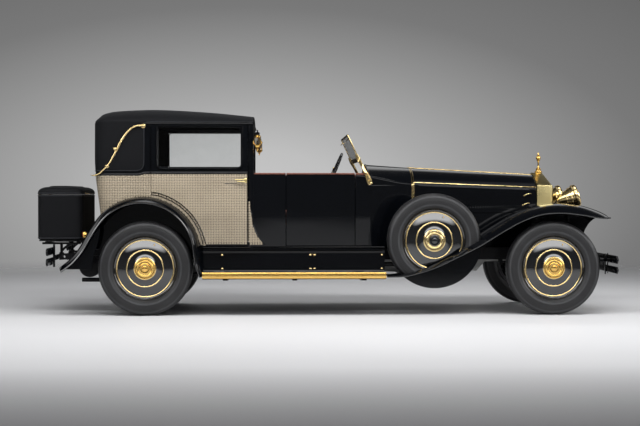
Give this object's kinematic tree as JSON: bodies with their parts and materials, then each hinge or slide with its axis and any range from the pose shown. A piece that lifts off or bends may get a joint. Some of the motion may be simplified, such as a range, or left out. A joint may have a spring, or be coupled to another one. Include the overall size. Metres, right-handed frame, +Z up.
{
  "type": "1920s town car with an open driver's compartment",
  "caption": "Large 1920s town car: closed cane-work cabin, open driver's seat, long louvred hood, disc wheels, side-mounted spares and a rear trunk, with working doors, hood, lid and steering.",
  "frame": {"origin": "on the ground under the middle of the car's length and width", "axes": "+X forward, +Y the car's left, +Z up"},
  "size_m": [5.346, 1.7, 1.9048],
  "materials": {
    "board_rubber": "ribbed",
    "brass": "polished pale gold",
    "cane": "woven cane, lacquered",
    "cast": "grey cast",
    "chassis_paint": "satin black",
    "glass": "clear",
    "paint": "deep gloss black",
    "roof_leather": "grained, dull",
    "seat_leather": "soft red-brown",
    "steel": "dull",
    "tyre": "dark grey rubber",
    "wood": "varnished"
  },
  "bodies": {
    "car_body": {"body_floor": "wood", "bumpers": "brass", "cabin_quarter_left": "cane", "cabin_quarter_right": "cane", "cabin_rear_wall": "cane", "cabin_roof": "roof_leather", "chassis_frame": "chassis_paint", "cowl": "paint", "dashboard": "wood", "division_wall": "paint", "engine_and_gearbox": "cast", "exhaust_pipe": "steel", "fixed_glass": "glass", "front_axle": "chassis_paint", "front_fenders": "paint", "front_seat": "seat_leather", "fuel_tank": "chassis_paint", "headlamps": "brass", "landau_irons": "brass", "leaf_springs": "chassis_paint", "levers": "steel", "radiator_cap": "brass", "radiator_shell": "brass", "radiator_shutters": "steel", "rear_axle": "chassis_paint", "rear_fenders": "paint", "rear_seat": "seat_leather", "running_boards": "board_rubber", "seat_boxes": "wood", "seat_side_panels": "paint", "side_and_tail_lamps": "brass", "spare_tyres": "tyre", "spare_wheels": "paint", "splash_aprons": "paint", "steering_column": "steel", "trunk_box": "roof_leather", "trunk_rack": "chassis_paint", "windscreen_frame": "brass"},
    "front_left_road_wheel": {"wheel_front_left": "paint", "tyre_front_left": "tyre"},
    "front_right_road_wheel": {"wheel_front_right": "paint", "tyre_front_right": "tyre"},
    "rear_left_road_wheel": {"wheel_rear_left": "paint", "tyre_rear_left": "tyre"},
    "rear_right_road_wheel": {"wheel_rear_right": "paint", "tyre_rear_right": "tyre"},
    "left_knuckle": {"knuckle_left": "chassis_paint"},
    "rear_door_left_body": {"rear_door_left": "cane", "rear_door_glass_left": "glass"},
    "front_door_left_body": {"front_door_left": "paint"},
    "hood_left_body": {"hood_left": "paint"},
    "right_knuckle": {"knuckle_right": "chassis_paint"},
    "rear_door_right_body": {"rear_door_right": "cane", "rear_door_glass_right": "glass"},
    "front_door_right_body": {"front_door_right": "paint"},
    "hood_right_body": {"hood_right": "paint"},
    "track_rod": {"tie_rod": "chassis_paint"},
    "hand_wheel": {"steering_wheel": "paint"},
    "luggage_lid": {"trunk_lid": "roof_leather"}
  },
  "joints": [
    {"name": "left_steer", "type": "hinge", "parent": "car_body", "child": "left_knuckle", "pos_m": [2.073, 0.6, 0.43], "axis": [0, 0, 1], "range_deg": [-32, 32]},
    {"name": "right_steer", "type": "hinge", "parent": "car_body", "child": "right_knuckle", "pos_m": [2.073, -0.6, 0.43], "axis": [0, 0, 1], "range_deg": [-32, 32]},
    {"name": "track_rod_pivot", "type": "hinge", "parent": "left_knuckle", "child": "track_rod", "pos_m": [1.933, 0.6, 0.368], "axis": [0, 0, 1], "range_deg": [-32, 32]},
    {"name": "steering_wheel_turn", "type": "hinge", "parent": "car_body", "child": "hand_wheel", "pos_m": [0.101, 0.33, 1.295], "axis": [0.9205, 0, -0.3907], "range_deg": [-448, 448]},
    {"name": "front_left_roll", "type": "hinge", "parent": "left_knuckle", "child": "front_left_road_wheel", "pos_m": [2.073, 0.725, 0.43], "axis": [0, 1, 0], "continuous": true},
    {"name": "front_right_roll", "type": "hinge", "parent": "right_knuckle", "child": "front_right_road_wheel", "pos_m": [2.073, -0.725, 0.43], "axis": [0, 1, 0], "continuous": true},
    {"name": "rear_left_roll", "type": "hinge", "parent": "car_body", "child": "rear_left_road_wheel", "pos_m": [-1.647, 0.725, 0.43], "axis": [0, 1, 0], "continuous": true},
    {"name": "rear_right_roll", "type": "hinge", "parent": "car_body", "child": "rear_right_road_wheel", "pos_m": [-1.647, -0.725, 0.43], "axis": [0, 1, 0], "continuous": true},
    {"name": "rear_door_left_swing", "type": "hinge", "parent": "car_body", "child": "rear_door_left_body", "pos_m": [-1.603, 0.709, 1.2], "axis": [0, 0, 1], "range_deg": [0, 65]},
    {"name": "front_door_left_swing", "type": "hinge", "parent": "car_body", "child": "front_door_left_body", "pos_m": [-0.37, 0.68929, 0.95], "axis": [0, 0, 1], "range_deg": [0, 65]},
    {"name": "rear_door_right_swing", "type": "hinge", "parent": "car_body", "child": "rear_door_right_body", "pos_m": [-1.603, -0.709, 1.2], "axis": [0, 0, -1], "range_deg": [0, 65]},
    {"name": "front_door_right_swing", "type": "hinge", "parent": "car_body", "child": "front_door_right_body", "pos_m": [-0.37, -0.68929, 0.95], "axis": [0, 0, -1], "range_deg": [0, 65]},
    {"name": "hood_left_lift", "type": "hinge", "parent": "car_body", "child": "hood_left_body", "pos_m": [0.806, 0, 1.357], "axis": [0.9985, 0, -0.054], "range_deg": [0, 70]},
    {"name": "hood_right_lift", "type": "hinge", "parent": "car_body", "child": "hood_right_body", "pos_m": [0.806, 0, 1.357], "axis": [-0.9985, 0, 0.054], "range_deg": [0, 70]},
    {"name": "trunk_lid_lift", "type": "hinge", "parent": "car_body", "child": "luggage_lid", "pos_m": [-2.246, 0, 1.107], "axis": [0, 1, 0], "range_deg": [0, 85]}
  ],
  "couplings": [
    {"joint": "right_steer", "follows": "left_steer", "ratio": 1},
    {"joint": "track_rod_pivot", "follows": "left_steer", "ratio": -1},
    {"joint": "steering_wheel_turn", "follows": "left_steer", "ratio": -14}
  ]
}
